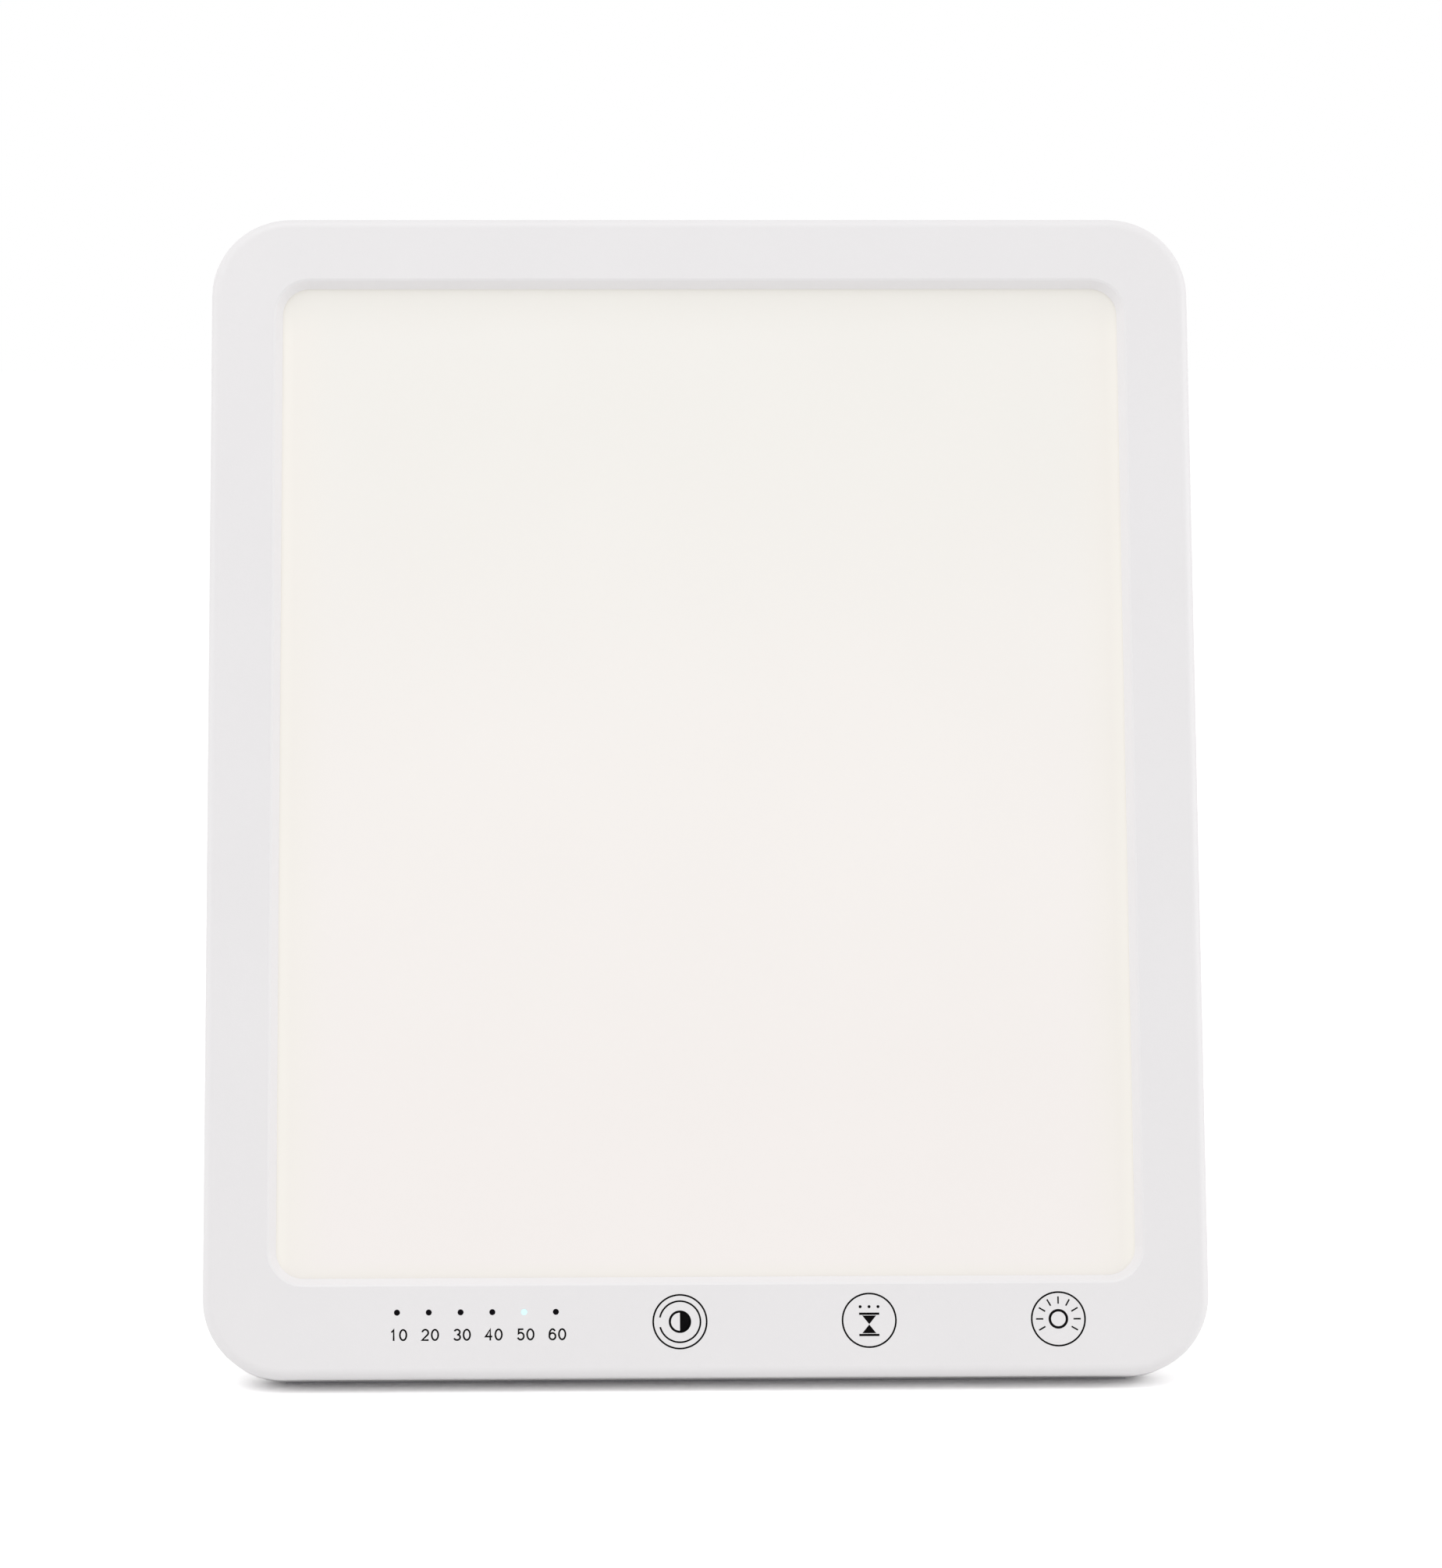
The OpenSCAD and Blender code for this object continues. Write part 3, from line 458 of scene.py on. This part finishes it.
def ink_stroke(bm, points):
    """A flat ribbon of one width along points on the face, a loop when it ends where it starts."""
    loop = (points[0] - points[-1]).length < ink_weld
    for i, point in enumerate(points):
        first, last = i == 0, i + 1 == len(points)
        before = (points[-2] if loop else 2 * point - points[1]) if first else points[i - 1]
        after = (points[1] if loop else 2 * point - before) if last else points[i + 1]
        way_in = (point - before).normalized()
        way = (way_in + (after - point).normalized()).normalized()
        half = Vector((way.z, 0, -way.x)) * stroke_width / 2 / max(way.dot(way_in), stroke_mitre)
        if first:
            edge = bm.edges.new((bm.verts.new(point - half), bm.verts.new(point + half)))
        else:
            grown = bmesh.ops.extrude_edge_only(bm, edges=[edge])["geom"]
            edge = next(part for part in grown if isinstance(part, bmesh.types.BMEdge)
                and all(vert in grown for vert in part.verts))
            for vert in edge.verts:
                side = 1 if (vert.co - before).dot(half_before) > 0 else -1
                vert.co = point + side * half
        half_before = half


bm = bmesh.new()
for step, minutes in enumerate(("10", "20", "30", "40", "50", "60")):
    for side, figure in zip((-1, 1), minutes):
        middle = dot_first + step * dot_pitch + number_shift + side * figure_step
        for stroke in figures[figure]:
            ink_stroke(bm, [Vector((middle + figure_wide * x, 0, number_up + figure_high * z))
                for x, z in stroke])
bmesh.ops.remove_doubles(bm, verts=bm.verts, dist=ink_weld)
bmesh.ops.recalc_face_normals(bm, faces=bm.faces)
for face in [face for face in bm.faces if face.normal.y > 0]:
    face.normal_flip()
bmesh.ops.translate(bm, verts=bm.verts, vec=(0, -ink_up, 0))
bmesh.ops.solidify(bm, geom=list(bm.faces), thickness=ink_up + ink_down)
printed("timer_numbers", bm)

# ---- Timer dots ----
# Six thin light pipes end flush with the face. Unlit they are smoky and look like black
# pinholes; the one in use shines bluish white.
lit_glow = (0.52, 0.90, 0.97, 1)
lit_strength = 0.85
smoky = grained("smoky light pipe", (0.0015, 0.001, 0.002), (0.004, 0.003, 0.005), (0.2, 0.35),
    fine=6000, broad=700, depth=0.000003, shine=0.05)
lit_pipe = grained("lit light pipe", (0.30, 0.38, 0.40), (0.34, 0.42, 0.44), (0.2, 0.3),
    fine=6000, broad=1500, depth=0.000003)
lit_shader = lit_pipe.node_tree.nodes["Principled BSDF"]
lit_shader.inputs["Emission Color"].default_value = lit_glow
lit_shader.inputs["Emission Strength"].default_value = lit_strength
dress("indicator_lenses", smoky)
dress("indicator_lens_lit", lit_pipe)

# ---- Power inlet and leads ----
# A black moulded socket in the right side wall, with a bright pin at its middle. Red covered
# leads run from it and from the light boards to the control board.
red_cover = grained("lead cover", (0.4, 0.02, 0.02), (0.5, 0.04, 0.03), (0.35, 0.5),
    fine=2500, broad=300, depth=0.000008)
dress("dc_jack", black_plastic)
dress("dc_jack_pin", steel)
dress("jack_leads", red_cover)
dress("led_leads", red_cover)

# ---- Stand ----
# A round hub turns in the rear cover against a rubber ring and is held by a steel disc and
# screws. The leg swings in the hub on a steel pin. Both are moulded in the same grained white
# plastic as the cover, the leg with slightly rounded edges and a rubber pad at its foot.
leg_edge = 0.0008
pad_edge = 0.0005
weld = 1e-6
flat_angle = math.radians(0.5)
sharp_angle = math.radians(40)
crease_angle = math.radians(35)
rubber = grained("dark rubber", (0.018, 0.018, 0.02), (0.035, 0.034, 0.036), (0.7, 0.85),
    fine=2200, broad=150, depth=0.00006)


def eased(node, body, reach, material):
    """Puts a copy with its sharp edges rounded off in the place of a moulded piece."""
    bm = bmesh.new()
    bm.from_mesh(frame["nodes"][node].data)
    bmesh.ops.remove_doubles(bm, verts=bm.verts, dist=weld)
    bmesh.ops.dissolve_limit(bm, angle_limit=flat_angle, verts=bm.verts, edges=bm.edges)
    sharp = [edge for edge in bm.edges
        if len(edge.link_faces) == 2 and edge.calc_face_angle() > sharp_angle]
    bmesh.ops.bevel(bm, geom=sharp, offset=reach, offset_type="OFFSET", segments=3, profile=0.5,
        affect="EDGES", clamp_overlap=True, material=-1)
    bmesh.ops.dissolve_degenerate(bm, edges=bm.edges, dist=weld)
    for face in bm.faces:
        face.smooth = True
    mesh = bpy.data.meshes.new(node + "_eased")
    bm.to_mesh(mesh)
    bm.free()
    mesh.set_sharp_from_angle(angle=crease_angle)
    mesh.materials.append(material)
    piece = bpy.data.objects.new(node + "_eased", mesh)
    bpy.context.scene.collection.objects.link(piece)
    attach(piece, body)
    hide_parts(node)


dress("stand_hub", back_white)
dress("hub_friction_ring", rubber)
for node in ("hub_retainer", "retainer_screws", "hinge_pin", "hinge_washers"):
    dress(node, steel)
eased("stand_leg", "leg", leg_edge, back_white)
eased("leg_foot_pad", "leg", pad_edge, rubber)

# ---- Case screws and caps ----
# Six steel screws join the cover to the bezel from behind. Round caps, moulded in the same white
# plastic as the cover and slightly rounded, close the mouths over them.
cap_edge = 0.0003
dress("case_screws", steel)
eased("screw_caps", "housing", cap_edge, back_white)

# ---- Foot strip ----
# A strip of pale silicone pressed into a groove of the case's lower edge. The panel stands on it,
# so that it doesn't slide.
dress("foot_strip", pale_silicone)

# ---- Floor ----
# A wide white sheet. The camera and reflections see it a little brighter than white where nothing
# shades it, so that only the lamp's own shadow shows on it.
floor_size = 6
floor_drop = 0.00005
floor_shade = 0.9
floor_seen = 1.475


def background_ray(nodes, links):
    """One for a ray of the camera or of a reflection, which should find the plain background."""
    path = nodes.new("ShaderNodeLightPath")
    found = path.outputs["Is Camera Ray"]
    for kind in ("Is Glossy Ray", "Is Transmission Ray"):
        either = nodes.new("ShaderNodeMath")
        either.operation = "MAXIMUM"
        links.new(found, either.inputs[0])
        links.new(path.outputs[kind], either.inputs[1])
        found = either.outputs["Value"]
    return found


bm = bmesh.new()
bmesh.ops.create_grid(bm, x_segments=1, y_segments=1, size=floor_size,
    matrix=Matrix.Translation((0, 0, -floor_drop)))
floor_mesh = bpy.data.meshes.new("floor")
bm.to_mesh(floor_mesh)
bm.free()
floor = bpy.data.objects.new("floor", floor_mesh)
bpy.context.scene.collection.objects.link(floor)
paper = bpy.data.materials.new("white paper")
paper.use_nodes = True
nodes, links = paper.node_tree.nodes, paper.node_tree.links
nodes.remove(nodes["Principled BSDF"])
matt = nodes.new("ShaderNodeBsdfDiffuse")
shade = nodes.new("ShaderNodeMix")
shade.data_type = "RGBA"
shade.inputs["A"].default_value = (floor_shade, floor_shade, floor_shade, 1)
shade.inputs["B"].default_value = (floor_seen, floor_seen, floor_seen, 1)
links.new(background_ray(nodes, links), shade.inputs["Factor"])
links.new(shade.outputs["Result"], matt.inputs["Color"])
links.new(matt.outputs["BSDF"], nodes["Material Output"].inputs["Surface"])
floor_mesh.materials.append(paper)

# ---- Light ----
# A white room with one large soft box above and to the left of the lamp, and a smaller one at
# either side.
room_light = 0.68
room_seen = 1.0
world = bpy.data.worlds.new("white room")
world.use_nodes = True
bpy.context.scene.world = world
nodes, links = world.node_tree.nodes, world.node_tree.links
background = nodes["Background"]
strength = nodes.new("ShaderNodeMapRange")
strength.inputs["To Min"].default_value = room_light
strength.inputs["To Max"].default_value = room_seen
background.inputs["Color"].default_value = (1, 1, 1, 1)
links.new(background_ray(nodes, links), strength.inputs["Value"])
links.new(strength.outputs["Result"], background.inputs["Strength"])


def soft_box(name, place, size, power):
    """A large square lamp that faces the panel."""
    light = bpy.data.lights.new(name, "AREA")
    light.size = size
    light.energy = power
    lamp = bpy.data.objects.new(name, light)
    lamp.location = place
    lamp.rotation_euler = (light_aim - Vector(place)).to_track_quat("-Z", "Y").to_euler()
    bpy.context.scene.collection.objects.link(lamp)


light_aim = Vector((0, 0, 0.1))
soft_box("soft_box_top", place=(-0.55, -0.75, 1.88), size=1.6, power=12.8)
soft_box("soft_box_left", place=(-1.9, -0.3, 0.6), size=1.2, power=3.8)
soft_box("soft_box_right", place=(1.9, -0.3, 0.6), size=1.2, power=9.4)

bpy.context.scene.view_settings.view_transform = "Standard"
